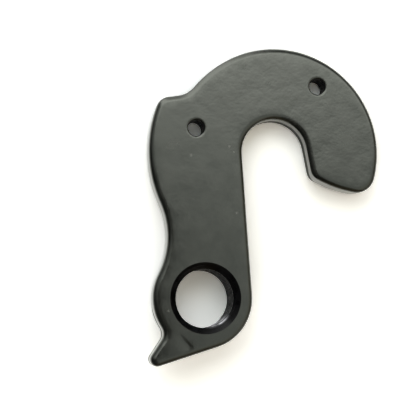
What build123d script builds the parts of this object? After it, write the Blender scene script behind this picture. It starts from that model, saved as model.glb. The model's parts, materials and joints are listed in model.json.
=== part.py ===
from build123d import *
import math
import os

# Rear derailleur hanger: one aluminium plate that hooks over the wheel axle, with a threaded
# eye for the derailleur, a stop tail beside it and two small threads for the frame screws.
# The origin is on the axis of the derailleur thread, in the plane of the face that lies on
# the frame. +Z points outboard, +Y runs up the straight edge of the stem. Millimetres and
# degrees.

# Plate
plate_thickness = 3.5
outboard_edge_radius = 1.0
inboard_edge_chamfer = 0.4

# Derailleur thread M10 x 1, bored to its tapping size
thread_bore_radius = 4.5
thread_lead_in = 1.0

# Round boss behind the eye, which lengthens the thread
boss_height = 4.0
boss_end_land = 0.57
boss_end_chamfer = 0.4
boss_root_radius = 0.3

# Flat of the plate that is left round the foot of the boss
eye_margin = 0.93
stem_margin = 0.2
tail_margin = 0.52

# Wheel axle, and the notch that clears it
axle_y = 21.98
notch_radius = 5.2

# Hook over the axle, whose outer arc stands a little off the axle's centre and opens into a
# flatter brow above the lug
hook_shift_x = 0.56
hook_shift_y = 0.3
hook_radius = 16.2
brow_angle = 110.0
brow_radius = 18.2
tip_face_lean = 6.9
tip_face_length = 4.72
tip_end_radius = 19.1
tip_outer_angle = -28.1
tip_inner_corner_radius = 2.0
tip_outer_corner_radius = 3.1

# Lug below the brow, whose corner starts the shoulder, an arc about the axle
lug_root_angle = 141.5
lug_length = 4.46
lug_lean = 4.8
lug_corner_radius = 2.2
lug_root_radius = 4.0

# Waist between the shoulder and the eye
waist_radius = 12.5

# Stop tail below the eye, and the heel where its underside turns into the stem's edge
tail_reach = 12.96
tail_slope = 13.8
tail_root_angle = 217.5
tail_tip_radius = 1.1
tail_root_radius = 1.7
heel_radius = 7.8

# Frame screw threads M3 x 0.5, bored to their tapping size, and how far they stand inside the
# arcs of the shoulder and the hook
screw_bore_radius = 1.25
screw_lead_in = 0.3
rear_screw_inset = 6.84
rear_screw_angle = 160.3
front_screw_inset = 4.08
front_screw_angle = 54.3

# Shallow crease in the face between the eye and the tail, which fades out at its upper end
crease_upper_x = -4.67
crease_upper_y = -5.14
crease_lower_x = -2.6
crease_lower_y = -7.95
crease_width = 0.7
crease_depth = 0.12
crease_run_out = 2.0


def polar(centre, reach, angle):
    turn = math.radians(angle)
    return centre + Vector(reach * math.cos(turn), reach * math.sin(turn))


def bearing(start, end):
    way = end - start
    return math.degrees(math.atan2(way.Y, way.X))


def rims(radius):
    circles = hanger.edges().filter_by(GeomType.CIRCLE)
    return circles.filter_by(lambda edge: edge.is_closed and math.isclose(edge.radius, radius))


# The boss leaves a flat ring round the thread's lead-in, and the plate's edges stand off its foot
thread_axis = Vector(0, 0)
boss_radius = thread_bore_radius + thread_lead_in + boss_end_land + boss_end_chamfer
boss_foot = boss_radius + boss_root_radius + inboard_edge_chamfer
eye_radius = boss_foot + eye_margin
stem_edge = boss_foot + stem_margin

# Tail and heel
underside = polar(thread_axis, boss_foot + tail_margin, tail_slope - 90)
tail_tip = polar(underside, tail_reach, tail_slope + 180)
heel = polar(underside, (stem_edge - underside.X) / math.cos(math.radians(tail_slope)), tail_slope)
tail_root = polar(thread_axis, eye_radius, tail_root_angle)

# Hook, brow, lug and shoulder
axle = Vector(stem_edge + notch_radius, axle_y)
hook_centre = axle + Vector(hook_shift_x, hook_shift_y)
tip_outer = polar(hook_centre, hook_radius, tip_outer_angle)
brow_centre = polar(hook_centre, hook_radius - brow_radius, brow_angle)
lug_root = polar(brow_centre, brow_radius, lug_root_angle)
lug_corner = polar(lug_root, lug_length, lug_lean + 180)
lug_corner_angle = bearing(axle, lug_corner)
shoulder_radius = (lug_corner - axle).length
rear_screw = polar(axle, shoulder_radius - rear_screw_inset, rear_screw_angle)
front_screw = polar(hook_centre, hook_radius - front_screw_inset, front_screw_angle)

# The waist arc touches the arcs of the eye and the shoulder, so its centre stands its own
# radius outside both of them
waist_from_thread = eye_radius + waist_radius
waist_from_axle = shoulder_radius + waist_radius
side_squares = waist_from_thread**2 + axle.length**2 - waist_from_axle**2
waist_turn = math.degrees(math.acos(side_squares / (2 * waist_from_thread * axle.length)))
waist_bearing = bearing(thread_axis, axle) + waist_turn
waist_centre = polar(thread_axis, waist_from_thread, waist_bearing)
waist_start_angle = bearing(waist_centre, axle)
shoulder_end_angle = waist_start_angle + 180

# The crease is the track of a round cutter that sinks along its run
crease_upper = Vector(crease_upper_x, crease_upper_y, plate_thickness)
crease_lower = Vector(crease_lower_x, crease_lower_y, plate_thickness - crease_depth)
crease_run = crease_lower - crease_upper
crease_cutter_radius = (crease_width**2 / 4 + crease_depth**2) / (2 * crease_depth)
crease_overrun = crease_run.normalized() * crease_run_out
crease_start = crease_upper + Vector(0, 0, crease_cutter_radius) - crease_overrun

with BuildPart() as hanger:
    with BuildSketch() as plate:
        with BuildLine():
            Line(heel, (stem_edge, axle_y))
            notch = CenterArc(axle, notch_radius, 180, tip_face_lean - 180)
            tip_face = PolarLine(notch @ 1, tip_face_length, direction=notch % 1)
            RadiusArc(tip_face @ 1, tip_outer, -tip_end_radius)
            CenterArc(hook_centre, hook_radius, tip_outer_angle, brow_angle - tip_outer_angle)
            CenterArc(brow_centre, brow_radius, brow_angle, lug_root_angle - brow_angle)
            Line(lug_root, lug_corner)
            CenterArc(axle, shoulder_radius, lug_corner_angle, shoulder_end_angle - lug_corner_angle)
            CenterArc(waist_centre, waist_radius, waist_start_angle, waist_bearing - shoulder_end_angle)
            CenterArc(thread_axis, eye_radius, waist_bearing, tail_root_angle - waist_bearing)
            Line(tail_root, tail_tip)
            Line(tail_tip, heel)
        make_face()
        for corner, radius in (
            (heel, heel_radius),
            (tail_tip, tail_tip_radius),
            (tail_root, tail_root_radius),
            (lug_corner, lug_corner_radius),
            (lug_root, lug_root_radius),
            (tip_outer, tip_outer_corner_radius),
            (tip_face @ 1, tip_inner_corner_radius),
        ):
            fillet(plate.vertices().sort_by_distance(corner)[0], radius)
    extrude(amount=plate_thickness)
    fillet(hanger.faces().sort_by(Axis.Z)[-1].edges(), outboard_edge_radius)
    chamfer(hanger.faces().sort_by(Axis.Z)[0].edges(), inboard_edge_chamfer)

    with BuildSketch():
        Circle(boss_radius)
    extrude(amount=-boss_height)
    fillet(rims(boss_radius).sort_by(Axis.Z)[-1], boss_root_radius)
    chamfer(rims(boss_radius).sort_by(Axis.Z)[0], boss_end_chamfer)

    with Locations(thread_axis):
        Hole(thread_bore_radius)
    with Locations(rear_screw, front_screw):
        Hole(screw_bore_radius)
    chamfer(rims(thread_bore_radius), thread_lead_in)
    chamfer(rims(screw_bore_radius), screw_lead_in)

    with BuildSketch(Plane(origin=crease_start, z_dir=crease_run)):
        Circle(crease_cutter_radius)
    extrude(amount=crease_run.length + 2 * crease_run_out, mode=Mode.SUBTRACT)

hanger.part.label = "hanger"

os.makedirs("parts", exist_ok=True)
export_step(hanger.part, "parts/hanger.step")
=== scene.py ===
import json
import math

import bmesh
import bpy
import numpy as np
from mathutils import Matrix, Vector, geometry
from mathutils.kdtree import KDTree


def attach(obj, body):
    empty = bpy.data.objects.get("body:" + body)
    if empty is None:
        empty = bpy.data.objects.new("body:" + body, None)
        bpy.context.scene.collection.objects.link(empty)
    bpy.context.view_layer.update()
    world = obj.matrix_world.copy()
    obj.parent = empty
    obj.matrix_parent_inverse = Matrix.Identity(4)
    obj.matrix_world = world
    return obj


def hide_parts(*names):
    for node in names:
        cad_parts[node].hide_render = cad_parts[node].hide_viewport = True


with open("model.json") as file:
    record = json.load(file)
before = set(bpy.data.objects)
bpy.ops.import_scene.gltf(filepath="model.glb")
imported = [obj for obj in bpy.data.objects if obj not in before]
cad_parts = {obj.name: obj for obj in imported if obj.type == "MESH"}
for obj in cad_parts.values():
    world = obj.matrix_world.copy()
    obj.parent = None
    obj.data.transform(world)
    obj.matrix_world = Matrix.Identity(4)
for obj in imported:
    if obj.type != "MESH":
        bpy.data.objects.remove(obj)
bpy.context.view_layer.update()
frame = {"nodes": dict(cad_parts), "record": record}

scene = bpy.context.scene
mounts = {mount["name"]: mount for mount in frame["record"]["mounts"]}
samePlace = 1.0e-6              # metres, points closer than this are one
mmPerMetre = 1000
levelOnly = (1.0, 1.0, 0.0)     # drops the height from a place or a direction
print("frame loaded,", len(mounts), "mounts")


def putInScene(name, data):
    holder = bpy.data.objects.new(name, data)
    scene.collection.objects.link(holder)
    return holder


# node helpers for the geometry trees and the shaders
def feed(tree, socket, value):
    if isinstance(value, bpy.types.NodeSocket):
        tree.links.new(value, socket)
    else:
        socket.default_value = value


def addNode(tree, kind, inputs=None, **settings):
    node = tree.nodes.new(kind)
    for key, value in settings.items():
        setattr(node, key, value)
    for label, value in (inputs or {}).items():
        feed(tree, node.inputs[label], value)
    return node


def calc(tree, operation, *values):
    return addNode(tree, "ShaderNodeMath", dict(enumerate(values)), operation=operation).outputs[0]


def vectorCalc(tree, operation, *values):
    labels = ("Vector", "Scale") if operation == "SCALE" else (0, 1)
    node = addNode(tree, "ShaderNodeVectorMath", dict(zip(labels, values)), operation=operation)
    return node.outputs["Vector"]


def measure(tree, operation, *values):
    # a length, a distance or a product of vectors, as one number
    node = addNode(tree, "ShaderNodeVectorMath", dict(enumerate(values)), operation=operation)
    return node.outputs["Value"]


def xyz(tree, x, y, z):
    return addNode(tree, "ShaderNodeCombineXYZ", {"X": x, "Y": y, "Z": z}).outputs[0]


def splitXyz(tree, vector):
    return addNode(tree, "ShaderNodeSeparateXYZ", {0: vector}).outputs


def spread(tree, value, fromSpan, toSpan=(0.0, 1.0)):
    # eases from one span of values to another and holds still beyond it
    node = addNode(tree, "ShaderNodeMapRange", {
        "Value": value, "From Min": fromSpan[0], "From Max": fromSpan[1],
        "To Min": toSpan[0], "To Max": toSpan[1]}, interpolation_type="SMOOTHSTEP")
    return node.outputs["Result"]


def blend(tree, share, first, second):
    # the two colours stand at sockets 6 and 7 of this node
    node = addNode(tree, "ShaderNodeMix", {"Factor": share, 6: first, 7: second}, data_type="RGBA")
    return node.outputs[2]


def newTree(name, kind, inputs, outputs):
    tree = bpy.data.node_groups.new(name, kind)
    for side, sockets in (("INPUT", inputs), ("OUTPUT", outputs)):
        for socketKind, labels in sockets.items():
            for label in labels:
                tree.interface.new_socket(label, in_out=side, socket_type="NodeSocket" + socketKind)
    return tree, addNode(tree, "NodeGroupInput").outputs, addNode(tree, "NodeGroupOutput").inputs


def closeTree(tree, mesh, given, result):
    merged = addNode(tree, "GeometryNodeMergeByDistance", {"Geometry": mesh, "Distance": samePlace})
    real = addNode(tree, "GeometryNodeRealizeInstances", {"Geometry": merged.outputs["Geometry"]})
    finish = addNode(tree, "GeometryNodeSetMaterial", {
        "Geometry": real.outputs["Geometry"], "Material": given["Finish"]})
    feed(tree, result["Mesh"], finish.outputs["Geometry"])


def growMesh(tree, start, values):
    # runs a tree on a starting mesh and hands back the points and faces it makes
    carrier = putInScene(tree.name, start)
    modifier = carrier.modifiers.new(tree.name, "NODES")
    modifier.node_group = tree
    for item in tree.interface.items_tree:
        if item.in_out == "INPUT" and item.name in values:
            modifier[item.identifier] = values[item.name]
    grown = bpy.data.meshes.new_from_object(
        carrier.evaluated_get(bpy.context.evaluated_depsgraph_get()))
    points = np.array([v.co for v in grown.vertices])
    faces = [list(p.vertices) for p in grown.polygons]
    bpy.data.objects.remove(carrier)
    bpy.data.meshes.remove(grown)
    return points, faces


# the plate's outline, read from the CAD wall and eased where its arcs are cut into chords
plateForm = {
    "thickness": 0.0035,
    "seamHeight": 0.0004,       # the wall starts here, above the inboard edge
    "edgeDepth": 0.00068,       # outboard edge, rounded wider than it is deep
    "edgeWidth": 0.00095,
    "wideEdge": 0.0012,         # its width where the eye runs into the tail
    "wideFrom": (-0.0052, 0.0085),
    "wideFull": (-0.0080, -0.0010),
    "wideTo": (-0.0074, -0.0056),
    "wideFade": 0.0011,
    "inboardRound": 0.0004,
    "outlinePoints": 1400,
    "easeStep": 0.00008,
    "easeShare": 0.4,           # of the shortest chord nearby
    "longestChord": 0.0013,
    "roundSteps": 12,
}


def cadOutline(node, height):
    # walks the CAD edges that lie at one height, end to end, anticlockwise
    mesh = node.data
    places = {}
    steps = {}
    for edge in mesh.edges:
        ends = [mesh.vertices[i].co for i in edge.vertices]
        if all(abs(end.z - height) < samePlace for end in ends):
            keys = [(round(end.x / samePlace), round(end.y / samePlace)) for end in ends]
            if keys[0] != keys[1]:
                for key, other, end in ((keys[0], keys[1], ends[0]), (keys[1], keys[0], ends[1])):
                    places[key] = (end.x, end.y)
                    steps.setdefault(key, set()).add(other)
    first = min(steps)
    walk = [first]
    previous, current = None, first
    while True:
        following = [key for key in sorted(steps[current]) if key != previous][0]
        if following == first:
            break
        walk.append(following)
        previous, current = current, following
    loop = np.array([places[key] for key in walk])
    after = np.roll(loop, -1, axis=0)
    if (loop[:, 0] * after[:, 1] - after[:, 0] * loop[:, 1]).sum() < 0:
        loop = loop[::-1]
    return loop


def stepLengths(loop):
    return np.linalg.norm(np.roll(loop, -1, axis=0) - loop, axis=1)


def spaced(loop, count):
    # points at even steps round a loop, with how far along it the old and the new points lie
    closed = np.vstack([loop, loop[:1]])
    along = np.concatenate([[0], np.cumsum(stepLengths(loop))])
    stops = np.linspace(0, along[-1], count, endpoint=False)
    points = np.stack([np.interp(stops, along, closed[:, axis]) for axis in (0, 1)], axis=1)
    return points, along, stops


def easedOutline(loop, form):
    # each pass moves a point towards the middle of its neighbours, less where the chords are short
    lengths = stepLengths(loop)
    chords = np.minimum(lengths, form["longestChord"])
    local = np.minimum(chords, np.minimum(np.roll(chords, 1), np.roll(chords, -1)))
    fine, along, stops = spaced(loop, round(lengths.sum() / form["easeStep"]))
    ownChord = np.clip(np.searchsorted(along, stops, side="right") - 1, 0, len(loop) - 1)
    reach = form["easeShare"] * local[ownChord]
    widest = reach.max()
    share = (reach / widest)[:, None] ** 2
    for _ in range(round((widest / form["easeStep"]) ** 2)):
        middle = (np.roll(fine, 1, axis=0) + np.roll(fine, -1, axis=0)) / 2
        fine = fine + share * (middle - fine)
    return spaced(fine, form["outlinePoints"])[0]


def outwards(loop):
    way = np.roll(loop, -1, axis=0) - np.roll(loop, 1, axis=0)
    way = way / np.linalg.norm(way, axis=1)[:, None]
    return np.stack([way[:, 1], -way[:, 0]], axis=1)


def smoothStep(low, high, value):
    t = np.clip((value - low) / (high - low), 0, 1)
    return t * t * (3 - 2 * t)


def edgeWidths(loop, form):
    # the outboard rounding opens out down the side of the eye and closes again at the tail's root
    start, full, end = [np.linalg.norm(loop - np.array(form[key]), axis=1).argmin()
                        for key in ("wideFrom", "wideFull", "wideTo")]
    steps = np.roll(stepLengths(loop), -start)
    travel = np.roll(np.concatenate([[0], np.cumsum(steps)[:-1]]), start)
    opened = smoothStep(0, travel[full], travel)
    closed = smoothStep(travel[end] - form["wideFade"], travel[end] + form["wideFade"], travel)
    return form["edgeWidth"] + (form["wideEdge"] - form["edgeWidth"]) * opened * (1 - closed)


outline = easedOutline(cadOutline(frame["nodes"]["hanger"], plateForm["seamHeight"]), plateForm)
outward = outwards(outline)
edgeWidth = edgeWidths(outline, plateForm)
print("outline eased,", len(outline), "points")


def edgeTree():
    # sweeps the plate's edge section along the outline
    tree, given, result = newTree("plateEdge", "GeometryNodeTree", {
        "Geometry": ("Outline",),
        "Float": ("Thickness", "Edge Depth", "Inboard Round"),
        "Int": ("Round Steps",),
        "Material": ("Finish",),
    }, {"Geometry": ("Mesh",)})
    edgeDepth, inboard = given["Edge Depth"], given["Inboard Round"]
    wallTop = calc(tree, "SUBTRACT", given["Thickness"], edgeDepth)
    sections = addNode(tree, "GeometryNodeJoinGeometry")
    for radius, startTurn, up in ((edgeDepth, 0.0, wallTop), (inboard, -math.pi / 2, inboard)):
        arc = addNode(tree, "GeometryNodeCurveArc", {
            "Resolution": given["Round Steps"], "Radius": radius,
            "Start Angle": startTurn, "Sweep Angle": math.pi / 2}, mode="RADIUS")
        placed = addNode(tree, "GeometryNodeTransform", {
            "Geometry": arc.outputs["Curve"],
            "Translation": xyz(tree, calc(tree, "MULTIPLY", radius, -1.0), up, 0.0)})
        feed(tree, sections.inputs[0], placed.outputs["Geometry"])
    wall = addNode(tree, "GeometryNodeCurvePrimitiveLine", {
        "Start": xyz(tree, 0.0, inboard, 0.0), "End": xyz(tree, 0.0, wallTop, 0.0)})
    feed(tree, sections.inputs[0], wall.outputs["Curve"])
    kept = addNode(tree, "GeometryNodeStoreNamedAttribute", {
        "Geometry": sections.outputs[0], "Name": "section",
        "Value": addNode(tree, "GeometryNodeInputPosition").outputs[0],
    }, data_type="FLOAT_VECTOR", domain="POINT")
    path = addNode(tree, "GeometryNodeMeshToCurve", {0: given["Outline"]})
    sweep = addNode(tree, "GeometryNodeCurveToMesh", {
        "Curve": path.outputs[0], "Profile Curve": kept.outputs[0]})

    def named(label, kind):
        node = addNode(tree, "GeometryNodeInputNamedAttribute", {"Name": label}, data_type=kind)
        return node.outputs["Attribute"]

    across, up, _ = splitXyz(tree, named("section", "FLOAT_VECTOR"))
    onRound = calc(tree, "GREATER_THAN", up, calc(tree, "ADD", wallTop, samePlace))
    widened = calc(tree, "SUBTRACT", calc(tree, "DIVIDE", named("edgeWidth", "FLOAT"), edgeDepth), 1.0)
    ratio = calc(tree, "MULTIPLY_ADD", onRound, widened, 1.0)
    aside = vectorCalc(tree, "SCALE", named("outward", "FLOAT_VECTOR"),
                       calc(tree, "MULTIPLY", across, ratio))
    lifted = vectorCalc(tree, "ADD", aside, xyz(tree, 0.0, 0.0, up))
    moved = addNode(tree, "GeometryNodeSetPosition", {
        "Geometry": sweep.outputs[0],
        "Position": vectorCalc(tree, "ADD", named("foot", "FLOAT_VECTOR"), lifted)})
    closeTree(tree, moved.outputs[0], given, result)
    return tree


def outlineMesh(loop, normals, widths):
    mesh = bpy.data.meshes.new("plateOutline")
    count = len(loop)
    flat = np.column_stack([loop, np.zeros(count)])
    mesh.from_pydata(flat.tolist(), [(i, (i + 1) % count) for i in range(count)], [])
    for label, kind, field, values in (
        ("foot", "FLOAT_VECTOR", "vector", flat),
        ("outward", "FLOAT_VECTOR", "vector", np.column_stack([normals, np.zeros(count)])),
        ("edgeWidth", "FLOAT", "value", widths),
    ):
        layer = mesh.attributes.new(label, kind, "POINT")
        layer.data.foreach_set(field, np.ravel(values).astype(np.float32))
    return mesh


plateEdge = growMesh(edgeTree(), outlineMesh(outline, outward, edgeWidth), {
    "Thickness": plateForm["thickness"], "Edge Depth": plateForm["edgeDepth"],
    "Inboard Round": plateForm["inboardRound"], "Round Steps": plateForm["roundSteps"]})
print("plate edge swept,", len(plateEdge[1]), "faces")


# threads: a grid rolled into a tube whose rows climb one pitch in a turn
screwThread = {"pitch": 0.0005, "depth": 0.00025, "leadIn": 0.0003, "roundLip": 1.0,
               "columns": 64, "bottom": 0.0}
threadForm = {
    "derailleur_thread": {"pitch": 0.001, "depth": 0.0005, "leadIn": 0.001, "roundLip": 0.0,
                          "columns": 120, "bottom": -0.004},
    "rear_frame_screw": screwThread,
    "front_frame_screw": screwThread,
}
profileForm = {
    "rowsPerTurn": 16,
    "spareTurns": 2,            # the tube is cut off level at both ends
    "nudge": 1.0e-4,            # of a turn, so that rounding can't drop a row into the turn below
    "rootMiddle": 0.625,        # in pitches: a crest a quarter wide, a root an eighth
    "crestFrom": 0.375,
    "rootFrom": 0.0625,
    "runOut": (0.6, 1.6),       # in lead-ins from the mouth, where it comes in under a rounded lip
    "faceLip": 0.35,            # of the lip, which has the finish of the face that it joins
}


def threadTree(profile):
    tree, given, result = newTree("tappedBore", "GeometryNodeTree", {
        "Geometry": ("Start",),
        "Float": ("Tapping Radius", "Thread Depth", "Pitch", "Lead In", "Round Lip",
                  "Bottom", "Top", "Turns"),
        "Int": ("Columns", "Rows"),
        "Material": ("Finish",),
    }, {"Geometry": ("Mesh",)})
    bottom, top, leadIn, roundLip = [given[label] for label in ("Bottom", "Top", "Lead In", "Round Lip")]
    grid = addNode(tree, "GeometryNodeMeshGrid", {
        "Size X": 1.0, "Size Y": 1.0, "Vertices X": given["Columns"], "Vertices Y": given["Rows"]})
    gridX, gridY, _ = splitXyz(tree, addNode(tree, "GeometryNodeInputPosition").outputs[0])
    around = calc(tree, "ADD", gridX, 0.5)
    climbed = calc(tree, "MULTIPLY", calc(tree, "ADD", gridY, 0.5), given["Turns"])
    turn = calc(tree, "MULTIPLY", around, math.tau)
    # one pitch below the bore, then up by the row and by the turn
    rise = calc(tree, "SUBTRACT", calc(tree, "ADD", climbed, around), 1.0)
    free = calc(tree, "MULTIPLY_ADD", rise, given["Pitch"], bottom)
    height = calc(tree, "MINIMUM", calc(tree, "MAXIMUM", free, bottom), top)
    phase = calc(tree, "FRACT", calc(tree, "ADD", climbed, profile["nudge"]))
    flank = addNode(tree, "ShaderNodeMapRange", {
        "Value": calc(tree, "ABSOLUTE", calc(tree, "SUBTRACT", phase, profile["rootMiddle"])),
        "From Min": profile["crestFrom"], "From Max": profile["rootFrom"],
        "To Min": 0.0, "To Max": given["Thread Depth"]}, clamp=True)
    # a straight cone at each mouth, or a rounded lip that the thread runs out under
    inwards = calc(tree, "MINIMUM", calc(tree, "SUBTRACT", top, height),
                   calc(tree, "SUBTRACT", height, bottom))
    sunk = calc(tree, "DIVIDE", inwards, leadIn)
    cone = calc(tree, "MAXIMUM", calc(tree, "SUBTRACT", 1.0, sunk), 0.0)
    bow = calc(tree, "SUBTRACT", 1.0, calc(tree, "SQRT", calc(
        tree, "SUBTRACT", 1.0, calc(tree, "MULTIPLY", cone, cone))))
    lip = calc(tree, "MULTIPLY_ADD", calc(tree, "SUBTRACT", bow, cone), roundLip, cone)
    runOut = spread(tree, sunk, profile["runOut"], (calc(tree, "SUBTRACT", 1.0, roundLip), 1.0))
    opened = calc(tree, "MAXIMUM", calc(tree, "MULTIPLY", flank.outputs["Result"], runOut),
                  calc(tree, "MULTIPLY", lip, leadIn))
    radius = calc(tree, "ADD", given["Tapping Radius"], opened)
    x, y = [calc(tree, "MULTIPLY", radius, calc(tree, wave, turn)) for wave in ("COSINE", "SINE")]
    moved = addNode(tree, "GeometryNodeSetPosition", {
        "Geometry": grid.outputs["Mesh"], "Position": xyz(tree, x, y, height)})
    closeTree(tree, moved.outputs[0], given, result)
    return tree


def holeCentre(name):
    return np.array(mounts[name]["pos_m"][:2])


def tappingRadius(name):
    return mounts[name]["dims"]["r_mm"] / mmPerMetre


def mouthRadius(name):
    return tappingRadius(name) + threadForm[name]["leadIn"]


def unitCircle(columns):
    angles = np.arange(columns) * math.tau / columns
    return np.stack([np.cos(angles), np.sin(angles)], axis=1)


def tappedBore(name, form, profile):
    # the bore's faces in two groups: a rounded lip has the finish of the faces that it joins
    bottom, top = form["bottom"], plateForm["thickness"]
    turns = math.ceil(round((top - bottom) / form["pitch"], 6)) + profile["spareTurns"]
    points, faces = growMesh(boreTree, bpy.data.meshes.new("boreStart"), {
        "Tapping Radius": tappingRadius(name), "Thread Depth": form["depth"],
        "Pitch": form["pitch"], "Lead In": form["leadIn"], "Round Lip": form["roundLip"],
        "Bottom": bottom, "Top": top, "Turns": float(turns),
        "Columns": form["columns"] + 1, "Rows": turns * profile["rowsPerTurn"] + 1})
    middles = np.array([points[face, 2].mean() for face in faces])
    lipDepth = profile["faceLip"] * form["leadIn"] * form["roundLip"]
    onLip = np.minimum(top - middles, middles - bottom) < lipDepth
    points[:, :2] += holeCentre(name)
    print("thread cut:", name, len(faces), "faces")
    return [(mark, (points, [face for face, keep in zip(faces, wanted) if keep]))
            for mark, wanted in ((0, onLip), (1, ~onLip))]


boreTree = threadTree(profileForm)
bores = []
rims = {}
for name, form in threadForm.items():
    bores += tappedBore(name, form, profileForm)
    rims[name] = holeCentre(name) + mouthRadius(name) * unitCircle(form["columns"])


# round boss behind the eye, turned from the same number of steps as the thread it carries
bossForm = {
    "radius": 0.00647,
    "rootRound": 0.0003,
    "endRound": 0.0004,
    "roundSteps": 7,
}


def arcSection(centre, radius, startTurn, endTurn, steps):
    turns = np.radians(np.linspace(startTurn, endTurn, steps))
    return [(centre[0] + radius * math.cos(t), centre[1] + radius * math.sin(t)) for t in turns]


def turnedBoss(form, thread, mouth):
    root, end, wall, bottom = form["rootRound"], form["endRound"], form["radius"], thread["bottom"]
    section = arcSection((wall + root, -root), root, 90, 180, form["roundSteps"])
    section += arcSection((wall - end, bottom + end), end, 0, -90, form["roundSteps"])
    section.append((mouth, bottom))
    columns = thread["columns"]
    rows = [np.column_stack([r * unitCircle(columns), np.full(columns, z)]) for r, z in section]
    faces = []
    for row in range(len(section) - 1):
        here, beyond = row * columns, (row + 1) * columns
        for i in range(columns):
            j = (i + 1) % columns
            faces.append([here + i, here + j, beyond + j, beyond + i])
    return (np.vstack(rows), faces), rows[0][:, :2]


boss, bossFoot = turnedBoss(bossForm, threadForm["derailleur_thread"], mouthRadius("derailleur_thread"))
print("boss turned,", len(boss[1]), "faces")


# flat faces, filled between the edge and the holes, with finer points along the crease
faceForm = {
    "pointGap": 0.0011,
    "rowShare": 0.866,          # of the gap, between rows that make even triangles
    "edgeGap": 0.0004,
    "fineShare": 0.6,           # of the gap, kept clear round finer points
    "creaseGap": 0.00013,
    "creaseStride": 1.6,        # of its gap, along the crease
    "creaseClear": 0.8,         # of its gap, kept clear of the edge
    "creaseReach": (-0.0016, 0.0006),
    "lipGaps": (0.00016, 0.0004),
    "fillKind": 2,              # triangles within the outline
    "fillSlack": 1.0e-6,        # millimetres
}
creaseForm = {
    "upper": (-0.00490, -0.00480),
    "lower": (-0.00272, -0.00745),
    "depth": 0.000055,
    "steepSide": 0.00026,       # half widths, towards the eye and towards the tail
    "flatSide": 0.0010,
    "fade": 0.0026,
    "lowerFade": 0.0005,
}
screwNames = ("rear_frame_screw", "front_frame_screw")


def creaseLine(form):
    upper, lower = np.array(form["upper"]), np.array(form["lower"])
    run = np.linalg.norm(lower - upper)
    way = (lower - upper) / run
    return upper, way, np.array([-way[1], way[0]]), run


def creaseSink(points, form):
    upper, way, side, run = creaseLine(form)
    along, across = (points - upper) @ way, (points - upper) @ side
    starts = smoothStep(0, form["fade"], along)
    ends = smoothStep(run - form["lowerFade"], run + form["lowerFade"], along)
    width = np.where(across > 0, form["steepSide"], form["flatSide"])
    return form["depth"] * starts * (1 - ends) * np.exp(-((across / width) ** 2))


def creasePoints(form):
    upper, way, side, run = creaseLine(form)
    gap = faceForm["creaseGap"]
    stops = np.arange(0, run + form["lowerFade"], gap * faceForm["creaseStride"])
    return np.array([upper + way * a + side * b
                     for a in stops for b in np.arange(*faceForm["creaseReach"], gap)])


def lipRings(form):
    # close rings of points that keep the faces flat up to the rounded lips
    rings = []
    for name in screwNames:
        circle = unitCircle(threadForm[name]["columns"])
        rings += [holeCentre(name) + (mouthRadius(name) + gap) * circle for gap in form["lipGaps"]]
    return np.vstack(rings)


def inMetal(points, loops):
    # even and odd crossings of a line drawn to the right of each point
    points = np.asarray(points)
    odd = np.zeros(len(points), bool)
    for loop in loops:
        for (x1, y1), (x2, y2) in zip(loop, np.roll(loop, -1, axis=0)):
            crossed = (y1 > points[:, 1]) != (y2 > points[:, 1])
            if crossed.any():
                odd ^= crossed & (points[:, 0] < (x2 - x1) * (points[:, 1] - y1) / (y2 - y1) + x1)
    return odd


def nearness(points):
    # a function that tells how far a place is from the nearest of the points
    tree = KDTree(len(points))
    for i, (x, y) in enumerate(points):
        tree.insert((x, y, 0), i)
    tree.balance()
    return lambda place: tree.find((*place, 0))[2]


def faceSheet(loops, height, finePoints, form):
    corners = np.vstack(loops)
    (left, low), (right, high) = corners.min(axis=0), corners.max(axis=0)
    gap = form["pointGap"]
    fromEdge, fromFine = nearness(corners), nearness(finePoints)
    wide = [(x, y) for row, y in enumerate(np.arange(low, high, gap * form["rowShare"]))
            for x in np.arange(left + (row % 2) * gap / 2, right, gap)]
    inner = [p for p in wide if fromEdge(p) > form["edgeGap"] and fromFine(p) > gap * form["fineShare"]]
    inner += [tuple(p) for p in finePoints if fromEdge(p) > form["creaseGap"] * form["creaseClear"]]
    edges = []
    first = 0
    for loop in loops:
        edges += [(first + i, first + (i + 1) % len(loop)) for i in range(len(loop))]
        first += len(loop)
    # filled in millimetres, holes too, and then the faces in the holes are dropped
    flat = [Vector(p) * mmPerMetre for p in [*map(tuple, corners), *inner]]
    places, _, faces, _, _, _ = geometry.delaunay_2d_cdt(
        flat, edges, [], form["fillKind"], form["fillSlack"])
    points = np.array([(p.x / mmPerMetre, p.y / mmPerMetre, height) for p in places])
    kept = inMetal([points[face, :2].mean(axis=0) for face in faces], loops)
    return points, [list(face) for face, keep in zip(faces, kept) if keep]


frontLoop = outline - outward * edgeWidth[:, None]
backLoop = outline - outward * plateForm["inboardRound"]
frontSheet = faceSheet([frontLoop, *rims.values()], plateForm["thickness"],
                       np.vstack([creasePoints(creaseForm), lipRings(faceForm)]), faceForm)
backSheet = faceSheet([backLoop, bossFoot, *[rims[name] for name in screwNames]], 0.0,
                      lipRings(faceForm), faceForm)
print("faces filled,", len(frontSheet[1]), "and", len(backSheet[1]))


# finishes: black anodised coat, with the same grain and specks on the faces and in the threads
def noiseValue(tree, place, scale, detail):
    node = addNode(tree, "ShaderNodeTexNoise", {"Vector": place, "Scale": scale, "Detail": detail})
    return node.outputs["Fac"]


coatForm = {
    "cloudDetail": 3.0,
    "pebbleDetail": 2.0,
    "lineDetail": 1.0,
    "lineStretch": (1.0, 0.05, 1.0),
    "hookWards": (1.0, 1.0, 0.0),
    "cloudShare": 0.6,          # of the roughness, the rest is pebble
    "roughSpan": (0.3, 0.7),
    "toneSpan": (0.35, 0.65),
}


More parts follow.
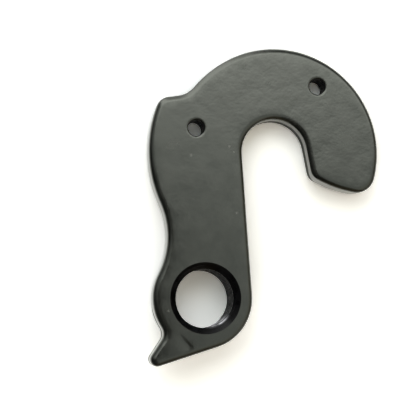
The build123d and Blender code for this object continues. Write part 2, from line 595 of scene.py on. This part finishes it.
def coatGroup(form):
    # clouding of the coat, its fine pebble and faint rolling lines along the plate
    group, given, result = newTree("coatGrain", "ShaderNodeTree", {
        "Vector": ("Place",),
        "Float": ("Cloud Scale", "Pebble Scale", "Cloud Height", "Pebble Height", "Line Height",
                  "Calm To", "Full From", "Calm Share", "Smooth", "Rough"),
        "Color": ("Deep Tone", "Thin Tone"),
    }, {"Color": ("Tone",), "Float": ("Roughness", "Height")})
    place = given["Place"]
    cloud = noiseValue(group, place, given["Cloud Scale"], form["cloudDetail"])
    pebble = noiseValue(group, place, given["Pebble Scale"], form["pebbleDetail"])
    along = vectorCalc(group, "MULTIPLY", place, form["lineStretch"])
    lines = noiseValue(group, along, given["Pebble Scale"], form["lineDetail"])
    grain = calc(group, "MULTIPLY", cloud, given["Cloud Height"])
    grain = calc(group, "MULTIPLY_ADD", pebble, given["Pebble Height"], grain)
    # calmer on the stem than on the hook, which lies to the right of it and above
    strength = spread(group, measure(group, "DOT_PRODUCT", place, form["hookWards"]),
                      (given["Calm To"], given["Full From"]), (given["Calm Share"], 1.0))
    grain = calc(group, "MULTIPLY", grain, strength)
    feed(group, result["Height"], calc(group, "MULTIPLY_ADD", lines, given["Line Height"], grain))
    mixed = calc(group, "MULTIPLY_ADD", cloud, form["cloudShare"], calc(
        group, "MULTIPLY", pebble, 1.0 - form["cloudShare"]))
    feed(group, result["Roughness"], spread(
        group, mixed, form["roughSpan"], (given["Smooth"], given["Rough"])))
    feed(group, result["Tone"], blend(
        group, spread(group, cloud, form["toneSpan"]), given["Deep Tone"], given["Thin Tone"]))
    return group


speckForm = {
    "least": 0.3,               # of the size, for the smallest grain
    "edge": (1.0, 0.5),         # a grain fades in from its rim to half way in
}


def speckGroup(form):
    # a few pale grains of dust, one here and there
    group, given, result = newTree("dustSpecks", "ShaderNodeTree", {
        "Vector": ("Place",), "Float": ("Scale", "Size", "Share")}, {"Float": ("Mask",)})
    cells = addNode(group, "ShaderNodeTexVoronoi", {
        "Vector": given["Place"], "Scale": given["Scale"]}, feature="F1")
    drawn = addNode(group, "ShaderNodeSeparateColor", {0: cells.outputs["Color"]}).outputs
    chosen = calc(group, "LESS_THAN", drawn[0], given["Share"])
    reach = calc(group, "MULTIPLY", given["Size"], calc(group, "ADD", drawn[1], form["least"]))
    dot = spread(group, calc(group, "DIVIDE", cells.outputs["Distance"], reach), form["edge"])
    feed(group, result["Mask"], calc(group, "MULTIPLY", chosen, dot))
    return group


markForm = {
    "raggedScale": 1.1,         # over the mark's reach
    "raggedDetail": 3.0,
    "raggedSwing": 1.7,
    "edge": (0.2, 1.3),         # in reaches, where the mark starts to fade and where it is gone
}


def markGroup(form):
    # one mark of wear with a soft and ragged edge
    group, given, result = newTree("wearMark", "ShaderNodeTree", {
        "Vector": ("Place", "Centre"), "Float": ("Reach",)}, {"Float": ("Mask",)})
    away = measure(group, "DISTANCE", given["Place"], given["Centre"])
    ragged = noiseValue(group, given["Place"], calc(
        group, "DIVIDE", form["raggedScale"], given["Reach"]), form["raggedDetail"])
    reach = calc(group, "MULTIPLY", given["Reach"], calc(group, "MULTIPLY", ragged, form["raggedSwing"]))
    feed(group, result["Mask"], spread(
        group, calc(group, "DIVIDE", away, reach), form["edge"], (1.0, 0.0)))
    return group


crestForm = {
    "sideSpan": (0.90, 0.985),  # cosines of the turn away from the side whose crests are bare and glinting, a painted glint
    "streakStretch": (0.25, 0.25, 1.0),
    "streakDetail": 2.0,
    "streakSpan": (0.42, 0.58),
    "streakShow": (0.15, 1.0),
}


def crestGroup(form):
    # crests of the derailleur thread worn to bare metal on one side only, where they catch the light:
    # partly wear, partly a painted glint
    group, given, result = newTree("wornAndGlintCrests", "ShaderNodeTree", {
        "Vector": ("Place", "Side"), "Float": ("Crest", "Depth", "Streaks")}, {"Float": ("Mask",)})
    level = vectorCalc(group, "MULTIPLY", given["Place"], levelOnly)
    facing = measure(group, "DOT_PRODUCT", vectorCalc(group, "NORMALIZE", level), given["Side"])
    nearSide = spread(group, facing, form["sideSpan"])
    onCrest = spread(group, calc(group, "SUBTRACT", measure(group, "LENGTH", level), given["Crest"]),
                     (0.0, given["Depth"]), (1.0, 0.0))
    streaks = noiseValue(group, vectorCalc(group, "MULTIPLY", given["Place"], form["streakStretch"]),
                         given["Streaks"], form["streakDetail"])
    streaked = spread(group, streaks, form["streakSpan"], form["streakShow"])
    crestsOnGlintSide = calc(group, "MULTIPLY", nearSide, onCrest)
    feed(group, result["Mask"], calc(group, "MULTIPLY", crestsOnGlintSide, streaked))
    return group


wallForm = {
    "aboutAxle": (0.0062, 0.0086),      # the tear is deepest up to the first distance
    "aboutTail": (0.003, 0.006),
    "overSeat": 2.0e-5,         # the seat itself isn't torn
    "wobbleDetail": 2.0,
}


def wallGroup(form):
    # a blanked wall: burnished above, torn and dull below, with an uneven border between the two
    group, given, result = newTree("blankedWall", "ShaderNodeTree", {
        "Vector": ("Place", "Axle", "Tail Root"),
        "Float": ("Plain Tear", "Notch Tear", "Tail Tear", "Burnished Top", "Soft",
                  "Wobble", "Wobble Scale"),
    }, {"Float": ("Torn", "Burnished")})
    height = splitXyz(group, given["Place"])[2]
    level = vectorCalc(group, "MULTIPLY", given["Place"], levelOnly)
    tear = given["Plain Tear"]
    for middle, span, deeper in (
        ("Axle", "aboutAxle", "Notch Tear"),
        ("Tail Root", "aboutTail", "Tail Tear"),
    ):
        away = measure(group, "DISTANCE", level, given[middle])
        tear = spread(group, away, form[span], (given[deeper], tear))
    uneven = calc(group, "SUBTRACT", noiseValue(
        group, given["Place"], given["Wobble Scale"], form["wobbleDetail"]), 0.5)
    below = calc(group, "SUBTRACT", tear, calc(group, "MULTIPLY_ADD", uneven, given["Wobble"], height))
    underBorder = spread(group, below, (0.0, given["Soft"]))
    overSeat = calc(group, "GREATER_THAN", height, form["overSeat"])
    feed(group, result["Torn"], calc(group, "MULTIPLY", underBorder, overSeat))
    underEdge = spread(group, calc(
        group, "SUBTRACT", given["Burnished Top"], height), (0.0, given["Soft"]))
    feed(group, result["Burnished"], calc(
        group, "MULTIPLY", underEdge, calc(group, "SUBTRACT", 1.0, underBorder)))
    return group


coatGrain = coatGroup(coatForm)
dustSpecks = speckGroup(speckForm)
wearMark = markGroup(markForm)
wornAndGlintCrests = crestGroup(crestForm)
blankedWall = wallGroup(wallForm)
# nicks that show pale and rubbed patches that show dull, on the outboard face: x, y and reach
wearForm = {
    "pale": ((0.00537, 0.02317, 0.00026), (-0.00077, 0.02212, 0.00022), (0.00602, 0.02228, 0.00020),
             (0.00580, 0.01277, 0.00022), (-0.00589, -0.00157, 0.00018)),
    "dull": ((-0.00347, 0.02379, 0.0011), (0.02420, 0.02370, 0.0016), (0.00860, 0.03562, 0.0005),
             (0.01224, 0.03279, 0.0005)),
}
wornRough = {"pale": 0.22, "dull": 0.09}    # roughness that each adds, dust with the pale marks
finishForm = {
    "blackFace": {
        "ior": 1.72, "glint": (0.955, 1.0, 0.915), "dust": (0.075, 0.075, 0.07), "bump": 1.0,
        "coat": {"Cloud Scale": 330.0, "Pebble Scale": 2400.0,
                 "Cloud Height": 5.4e-5, "Pebble Height": 9.0e-6, "Line Height": 1.5e-6,
                 "Calm To": 0.022, "Full From": 0.046, "Calm Share": 0.40,
                 "Smooth": 0.16, "Rough": 0.26,
                 "Deep Tone": (0.0055, 0.0058, 0.0052, 1.0), "Thin Tone": (0.0085, 0.0088, 0.0078, 1.0)},
        "specks": {"Scale": 420.0, "Size": 0.055, "Share": 0.16},
        "wear": wearForm,
        "wall": {"Axle": (0.01257, 0.02198, 0.0), "Tail Root": (-0.0070, -0.0055, 0.0),
                 "Plain Tear": 0.0006, "Notch Tear": 0.0018, "Tail Tear": 0.0013,
                 "Burnished Top": 0.0030, "Soft": 0.0003, "Wobble": 0.00025, "Wobble Scale": 700.0},
        "wallRough": {"Torn": 0.85, "Burnished": 0.08},
        "wallCalm": 0.85,           # of the grain, smoothed away by burnishing
    },
    "blackThread": {
        "ior": 1.28, "glint": (0.97, 0.97, 1.0), "dust": (0.03, 0.03, 0.033), "bump": 1.0,
        "coat": {"Cloud Scale": 600.0, "Pebble Scale": 9000.0,
                 "Cloud Height": 2.0e-6, "Pebble Height": 1.5e-6, "Line Height": 0.0,
                 "Calm To": 0.0, "Full From": 0.05, "Calm Share": 1.0,
                 "Smooth": 0.22, "Rough": 0.38,
                 "Deep Tone": (0.0014, 0.0014, 0.0015, 1.0), "Thin Tone": (0.0030, 0.0030, 0.0033, 1.0)},
        "specks": {"Scale": 900.0, "Size": 0.06, "Share": 0.08},
        # bare crests only on the side where the thread catches the light: partly wear, partly a painted
        # glint
        "bareAndGlint": {"Side": (0.50, -0.866, 0.0), "Crest": 0.00452, "Depth": 0.00030, "Streaks": 1500.0},
        "metal": (0.29, 0.29, 0.31),
    },
}


def placeGroup(tree, group, place, values):
    return addNode(tree, "ShaderNodeGroup", {"Place": place, **values}, node_tree=group).outputs


def blackFinish(name, form):
    finish = bpy.data.materials.new(name)
    finish.use_nodes = True
    tree = finish.node_tree
    shader = tree.nodes["Principled BSDF"]
    shader.inputs["IOR"].default_value = form["ior"]
    shader.inputs["Specular Tint"].default_value = (*form["glint"], 1)
    place = addNode(tree, "ShaderNodeTexCoord").outputs["Object"]
    coat = placeGroup(tree, coatGrain, place, form["coat"])
    rough, height = coat["Roughness"], coat["Height"]
    worn = {"pale": placeGroup(tree, dustSpecks, place, form["specks"])["Mask"], "dull": 0.0}
    for kind, marks in form.get("wear", {}).items():
        for x, y, reach in marks:
            mark = placeGroup(tree, wearMark, place, {
                "Centre": (x, y, plateForm["thickness"]), "Reach": reach})
            worn[kind] = calc(tree, "MAXIMUM", worn[kind], mark["Mask"])
    colour = blend(tree, worn["pale"], coat["Tone"], (*form["dust"], 1))
    for kind, added in wornRough.items():
        rough = calc(tree, "MULTIPLY_ADD", worn[kind], added, rough)
    # bare metal on the crests of one side of the thread: partly wear, partly a painted glint
    if "bareAndGlint" in form:
        bareAndGlint = placeGroup(tree, wornAndGlintCrests, place, form["bareAndGlint"])["Mask"]
        colour = blend(tree, bareAndGlint, colour, (*form["metal"], 1))
        feed(tree, shader.inputs["Metallic"], bareAndGlint)
    if "wall" in form:
        wall = placeGroup(tree, blankedWall, place, form["wall"])
        for band, wanted in form["wallRough"].items():
            change = calc(tree, "SUBTRACT", wanted, rough)
            rough = calc(tree, "MULTIPLY_ADD", wall[band], change, rough)
        height = calc(tree, "MULTIPLY", height, calc(
            tree, "MULTIPLY_ADD", wall["Burnished"], -form["wallCalm"], 1.0))
    bump = addNode(tree, "ShaderNodeBump", {"Height": height, "Distance": form["bump"]})
    feed(tree, shader.inputs["Base Color"], colour)
    feed(tree, shader.inputs["Roughness"], rough)
    feed(tree, shader.inputs["Normal"], bump.outputs["Normal"])
    return finish


blackFace, blackThread = [blackFinish(name, form) for name, form in finishForm.items()]
print("finishes mixed")


# the hanger in one closed mesh
joinForm = {
    "mergeGap": 2.0e-6,
    "leastEdge": 1.0e-7,
    "sharpTurn": 32.0,          # degrees between faces, past which an edge stays sharp
    "normalWeight": 80,
}


def joinedMesh(name, groups, form):
    points, faces, marks = [], [], []
    first = 0
    for mark, (groupPoints, groupFaces) in groups:
        points.append(groupPoints)
        faces += [[first + i for i in face] for face in groupFaces]
        marks += [mark] * len(groupFaces)
        first += len(groupPoints)
    points = np.vstack(points)
    # the crease sinks the face and fades out down the rounded edge
    edgeDepth = plateForm["edgeDepth"]
    share = np.clip((points[:, 2] - plateForm["thickness"] + edgeDepth) / edgeDepth, 0, 1)
    points[:, 2] -= creaseSink(points[:, :2], creaseForm) * share
    mesh = bpy.data.meshes.new(name)
    mesh.from_pydata(points.tolist(), [], faces)
    mesh.polygons.foreach_set("material_index", marks)
    shape = bmesh.new()
    shape.from_mesh(mesh)
    bmesh.ops.remove_doubles(shape, verts=shape.verts, dist=form["mergeGap"])
    bmesh.ops.dissolve_degenerate(shape, edges=shape.edges, dist=form["leastEdge"])
    bmesh.ops.recalc_face_normals(shape, faces=shape.faces)
    sharpTurn = math.radians(form["sharpTurn"])
    for face in shape.faces:
        face.smooth = True
    for edge in shape.edges:
        edge.smooth = len(edge.link_faces) == 2 and edge.calc_face_angle() < sharpTurn
    openEdges = sum(1 for edge in shape.edges if len(edge.link_faces) != 2)
    volume = round(shape.calc_volume(signed=True) * mmPerMetre ** 3, 1)
    print("joined:", len(shape.verts), "points,", openEdges, "open edges,", volume, "mm3")
    shape.to_mesh(mesh)
    shape.free()
    return mesh


hangerMesh = joinedMesh("hangerPlate", [
    (0, plateEdge), (0, frontSheet), (0, backSheet), (0, boss), *bores], joinForm)
hangerMesh.materials.append(blackFace)
hangerMesh.materials.append(blackThread)
draft = putInScene("hangerDraft", hangerMesh)
weighting = draft.modifiers.new("weighting", "WEIGHTED_NORMAL")
weighting.keep_sharp = True
weighting.weight = joinForm["normalWeight"]
hangerPlate = putInScene("hangerPlate", bpy.data.meshes.new_from_object(
    draft.evaluated_get(bpy.context.evaluated_depsgraph_get())))
bpy.data.objects.remove(draft)
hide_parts("hanger")
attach(hangerPlate, "root")
print("hanger ready,", len(hangerPlate.data.polygons), "faces")


# table top, tilted as the part rests on its boss and on the back of its hook
tableForm = {
    "down": (0.02086313, 0.11496502, -0.99315043),
    "reach": 0.004681123,       # from the origin to the table
    "half": 1.5,
    "tone": (0.9, 0.89, 0.87),
    "seenTone": (1.0, 1.0, 1.0),        # what the camera and the finish see of it, with the lift added
    "seenLift": (0.55, 0.55, 0.55),
    "whiteSpan": (0.06, 0.20),  # the ground turns to plain white between these distances
}


def flatSheet(name, corners, finish):
    mesh = bpy.data.meshes.new(name)
    mesh.from_pydata(corners, [], [(0, 1, 2, 3)])
    mesh.materials.append(finish)
    return putInScene(name, mesh)


def paleTable(form):
    finish = bpy.data.materials.new("paleTable")
    finish.use_nodes = True
    tree = finish.node_tree
    tree.nodes.clear()
    plain, seen, lift = [addNode(tree, "ShaderNodeBsdfDiffuse", {"Color": (*form[key], 1)}).outputs[0]
                         for key in ("tone", "seenTone", "seenLift")]
    lit = addNode(tree, "ShaderNodeAddShader", {0: seen, 1: lift})
    white = addNode(tree, "ShaderNodeEmission")
    away = measure(tree, "LENGTH", addNode(tree, "ShaderNodeTexCoord").outputs["Object"])
    ground = addNode(tree, "ShaderNodeMixShader", {
        "Fac": spread(tree, away, form["whiteSpan"]), 1: lit.outputs[0], 2: white.outputs[0]})
    path = addNode(tree, "ShaderNodeLightPath").outputs
    direct = calc(tree, "MAXIMUM", path["Is Camera Ray"], calc(
        tree, "MAXIMUM", path["Is Glossy Ray"], path["Is Transmission Ray"]))
    shown = addNode(tree, "ShaderNodeMixShader", {"Fac": direct, 1: plain, 2: ground.outputs[0]})
    addNode(tree, "ShaderNodeOutputMaterial", {"Surface": shown.outputs[0]})
    return finish


tableUp = -Vector(tableForm["down"]).normalized()
tableAcross = (Vector((1, 0, 0)) - tableUp * tableUp.x).normalized()
tableAhead = tableUp.cross(tableAcross)
tableTop = flatSheet("tableTop", [
    (tableAcross * a + tableAhead * b) * tableForm["half"] - tableUp * tableForm["reach"]
    for a, b in ((-1, -1), (1, -1), (1, 1), (-1, 1))], paleTable(tableForm))
print("table laid")


# soft round lamps over the table, each with its share of the light, and no glint of their own:
# degrees of tilt from the zenith, and of bearing in the picture, anticlockwise from its right
lightForm = {
    "aim": (0.008, 0.014, 0.0),
    "distance": 0.75,
    "width": 0.55,
    "level": 0.98,              # of light on the open table, where 1 shows a colour as it is written
    "lamps": {
        "overhead": {"tilt": 0.0, "bearing": 0.0, "share": 0.103, "tone": (0.97, 1.0, 0.91)},
        "top": {"tilt": 35.0, "bearing": 90.0, "share": 0.170, "tone": (0.96, 0.97, 1.0)},
        "topLeft": {"tilt": 35.0, "bearing": 135.0, "share": 0.300, "tone": (0.96, 1.0, 0.96)},
        "topRight": {"tilt": 35.0, "bearing": 45.0, "share": 0.052, "tone": (0.90, 0.97, 1.0)},
        "highTop": {"tilt": 65.0, "bearing": 90.0, "share": 0.039, "tone": (0.90, 0.97, 1.0)},
        "right": {"tilt": 35.0, "bearing": 0.0, "share": 0.100, "tone": (1.0, 0.92, 0.76)},
        "low": {"tilt": 35.0, "bearing": 270.0, "share": 0.111, "tone": (1.0, 0.90, 0.74)},
        "sideLeft": {"tilt": 75.0, "bearing": 180.0, "share": 0.055, "tone": (1.0, 1.0, 1.0)},
        "lowLeft": {"tilt": 63.0, "bearing": 225.0, "share": 0.150, "tone": (1.0, 0.96, 0.91)},
        "lowRight": {"tilt": 65.0, "bearing": 310.0, "share": 0.048, "tone": (1.0, 0.90, 0.66)},
    },
}


def hangLamp(name, form, light):
    tilt, bearing = math.radians(form["tilt"]), math.radians(form["bearing"])
    toward = Vector((
        math.sin(tilt) * math.cos(bearing), math.sin(tilt) * math.sin(bearing), math.cos(tilt)))
    lamp = bpy.data.lights.new(name, "AREA")
    lamp.shape = "DISK"
    lamp.size = light["width"]
    # watts that bring this share of the level to the table, whatever the lamp's tilt
    fullWatts = (math.pi * light["distance"]) ** 2 * light["level"]
    lamp.energy = fullWatts * form["share"] / toward.dot(tableUp)
    lamp.color = form["tone"]
    holder = putInScene(name, lamp)
    holder.location = Vector(light["aim"]) + toward * light["distance"]
    holder.rotation_euler = toward.to_track_quat("Z", "Y").to_euler()
    holder.visible_glossy = False


for name, form in lightForm["lamps"].items():
    hangLamp(name, form, lightForm)
print("lamps hung,", len(lightForm["lamps"]))


# the room that the finish mirrors, laid out on a map of the sky: degrees right of the zenith and
# degrees above it in the picture; each border is its bearing, its distance and its softness
roomForm = {
    "wall": {"light": 0.82, "centre": (20.0, 0.0), "span": (15.0, 105.0), "fall": 0.72,
             "tone": (0.965, 1.0, 0.95)},
    "shades": [
        {"depth": 0.75, "borders": ((180.0, 10.0, 9.0), (-104.0, 3.0, 10.0))},
        {"depth": 0.95, "borders": ((-130.4, 20.0, 9.0),)},
        {"depth": 0.60, "borders": ((48.0, 52.0, 16.0),)},
        {"depth": 0.90, "borders": ((-90.0, 58.0, 12.0),)},
        {"depth": 0.35, "borders": ((-15.0, 50.0, 14.0),)},
        {"depth": 0.65, "borders": ((14.0, 58.0, 12.0),)},
    ],
    "panels": [
        {"light": 1.3, "tone": (1.0, 1.0, 0.97),
         "borders": ((81.0, 13.5, 7.0), (180.0, -10.0, 4.0), (28.8, -6.1, 8.0))},
        {"light": 1.5, "tone": (1.0, 1.0, 0.97),
         "borders": ((81.0, 14.5, 7.0), (206.6, -22.0, 8.0), (28.8, -6.1, 8.0))},
        {"light": 1.9, "tone": (1.0, 1.0, 0.96),
         "borders": ((88.0, 11.5, 7.5), (-90.0, -33.0, 7.0), (0.0, 8.0, 4.0), (180.0, -46.0, 12.0))},
        {"light": 0.14, "tone": (1.0, 0.72, 0.25), "borders": ((-40.0, 28.0, 14.0),)},
    ],
    "zenithTerm": 1.0e-5,
}


def roomWorld(form):
    world = bpy.data.worlds.new("room")
    world.use_nodes = True
    tree = world.node_tree
    way = addNode(tree, "ShaderNodeTexCoord").outputs["Generated"]
    level = vectorCalc(tree, "MULTIPLY", way, levelOnly)
    fromZenith = calc(tree, "MULTIPLY", calc(tree, "ARCCOSINE", splitXyz(tree, way)[2]), math.degrees(1))
    # the small term keeps the zenith itself from dividing by nothing
    flatLength = calc(tree, "ADD", measure(tree, "LENGTH", level), form["zenithTerm"])
    sky = vectorCalc(tree, "SCALE", level, calc(tree, "DIVIDE", fromZenith, flatLength))

    def inside(borders):
        mask = 1.0
        for bearing, distance, soft in borders:
            turn = math.radians(bearing)
            along = measure(tree, "DOT_PRODUCT", sky, (math.cos(turn), math.sin(turn), 0.0))
            side = spread(tree, along, (distance - soft, distance + soft))
            mask = calc(tree, "MULTIPLY", mask, side)
        return mask

    wall = form["wall"]
    away = measure(tree, "DISTANCE", sky, (*wall["centre"], 0.0))
    light = spread(tree, away, wall["span"], (wall["light"], wall["light"] * (1 - wall["fall"])))
    for shade in form["shades"]:
        left = calc(tree, "MULTIPLY_ADD", inside(shade["borders"]), -shade["depth"], 1.0)
        light = calc(tree, "MULTIPLY", light, left)
    glow = vectorCalc(tree, "SCALE", wall["tone"], light)
    for panel in form["panels"]:
        bright = calc(tree, "MULTIPLY", inside(panel["borders"]), panel["light"])
        glow = vectorCalc(tree, "ADD", glow, vectorCalc(tree, "SCALE", panel["tone"], bright))
    # the camera itself sees plain white behind the table
    path = addNode(tree, "ShaderNodeLightPath").outputs
    seen = calc(tree, "MAXIMUM", path["Is Camera Ray"], path["Is Transmission Ray"])
    back = tree.nodes["Background"]
    feed(tree, back.inputs["Color"], blend(tree, seen, glow, (1.0, 1.0, 1.0, 1.0)))
    back.inputs["Strength"].default_value = 1.0
    return world


scene.world = roomWorld(roomForm)
scene.world.cycles_visibility.diffuse = False  # the lamps alone light the table
print("room set,", len(roomForm["panels"]), "bright panels")


cameraForm = {
    "lens": 108.17307692,       # millimetres
    "sensor": 36.0,
    "place": (-0.0334573, -0.0039974, 0.1918447),
    "turn": (6.02809342, -10.06036687, -4.06933242),    # degrees
    "nearest": 0.01,
    "farthest": 10.0,
}
camera = bpy.data.cameras.new("photoCamera")
camera.lens = cameraForm["lens"]
camera.sensor_width = cameraForm["sensor"]
camera.clip_start = cameraForm["nearest"]
camera.clip_end = cameraForm["farthest"]
cameraHolder = putInScene("photoCamera", camera)
cameraHolder.location = cameraForm["place"]
cameraHolder.rotation_euler = [math.radians(turn) for turn in cameraForm["turn"]]
scene.camera = cameraHolder
scene.view_settings.view_transform = "Standard"
print("camera set")


# a dark card round the camera, which only the finish mirrors
cardForm = {
    "left": 0.060,
    "right": 0.054,
    "top": 0.042,
    "bottom": 0.100,
    "tone": (0.10, 0.097, 0.09),
    "roughness": 0.9,
}


def darkCard(form):
    finish = bpy.data.materials.new("darkCard")
    finish.use_nodes = True
    shader = finish.node_tree.nodes["Principled BSDF"]
    shader.inputs["Base Color"].default_value = (*form["tone"], 1)
    shader.inputs["Roughness"].default_value = form["roughness"]
    return finish


cardX, cardY = (-cardForm["left"], cardForm["right"]), (-cardForm["bottom"], cardForm["top"])
cameraCard = flatSheet("cameraCard", [
    Vector(cameraForm["place"]) + Vector((cardX[a], cardY[b], 0.0))
    for a, b in ((0, 0), (0, 1), (1, 1), (1, 0))], darkCard(cardForm))
for sight in ("camera", "diffuse", "transmission", "volume_scatter", "shadow"):
    setattr(cameraCard, "visible_" + sight, False)
print("card set")
